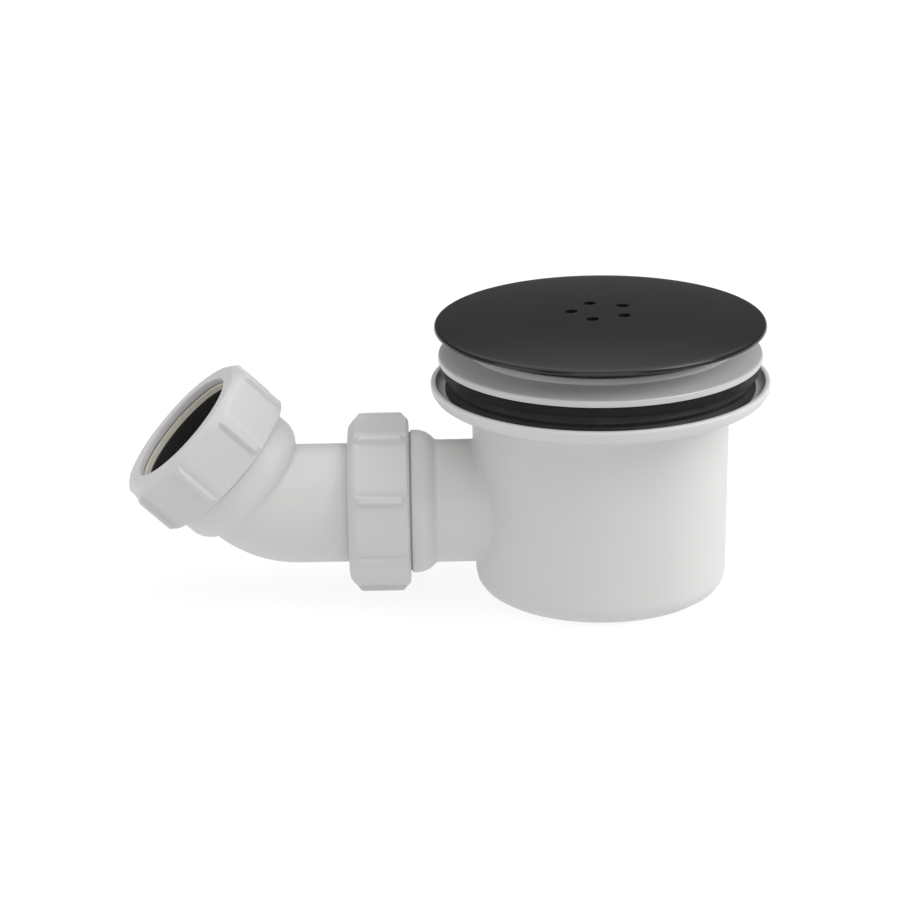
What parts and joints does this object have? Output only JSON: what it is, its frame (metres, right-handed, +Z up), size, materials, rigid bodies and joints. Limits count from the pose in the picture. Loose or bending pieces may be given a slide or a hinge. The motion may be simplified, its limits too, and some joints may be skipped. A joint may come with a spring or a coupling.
{
  "type": "shower trap",
  "caption": "White cup-shaped shower trap with a chrome clamping flange, black domed cover, lift-out water seal and a swivelling bend with compression nuts.",
  "frame": {"origin": "centre of the body's flat base", "axes": "+Z up through the cover, the outlet leaves along -X, +Y completes the set"},
  "size_m": [0.2206, 0.116, 0.0989],
  "materials": {
    "white_plastic": "moulded white polypropylene, satin",
    "chrome_plate": "satin chrome plate",
    "black_rubber": "moulded black rubber",
    "black_cover": "gloss black",
    "pale_plastic": "pale plastic, natural"
  },
  "bodies": {
    "trap": {"trap_body": "white_plastic", "body_rim": "white_plastic", "body_outlet": "white_plastic", "trap_cup": "white_plastic", "dip_tube": "white_plastic", "dip_tube_seal": "black_rubber", "clamping_flange": "chrome_plate", "flange_washer": "black_rubber", "tray_gasket": "black_rubber", "cover": "black_cover", "swivel_compression_ring": "black_rubber"},
    "bend": {"outlet_bend": "white_plastic", "outlet_compression_ring": "black_rubber"},
    "swivel_washer": {"swivel_slip_washer": "pale_plastic"},
    "swivel_nut": {"swivel_nut": "white_plastic"},
    "outlet_washer": {"outlet_slip_washer": "pale_plastic"},
    "outlet_nut": {"outlet_nut": "white_plastic"}
  },
  "joints": [
    {"name": "bend_swivel", "type": "hinge", "parent": "trap", "child": "bend", "pos_m": [-0.0803, 0, 0.0314], "axis": [-1, 0, 0], "continuous": true},
    {"name": "swivel_washer_slide", "type": "slide", "parent": "trap", "child": "swivel_washer", "axis": [-1, 0, 0], "range_m": [0, 0.006]},
    {"name": "swivel_nut_turn", "type": "hinge", "parent": "swivel_washer", "child": "swivel_nut", "pos_m": [-0.0803, 0, 0.0314], "axis": [-1, 0, 0], "range_deg": [0, 720]},
    {"name": "outlet_washer_slide", "type": "slide", "parent": "bend", "child": "outlet_washer", "axis": [-0.7071, -0.0678, 0.7039], "range_m": [0, 0.006]},
    {"name": "outlet_nut_turn", "type": "hinge", "parent": "outlet_washer", "child": "outlet_nut", "pos_m": [-0.13905, -0.00244, 0.05676], "axis": [-0.7071, -0.0678, 0.7039], "range_deg": [0, 720]}
  ],
  "couplings": [
    {"joint": "swivel_washer_slide", "follows": "swivel_nut_turn", "m_per_rad": 0.000477},
    {"joint": "outlet_washer_slide", "follows": "outlet_nut_turn", "m_per_rad": 0.000477}
  ]
}
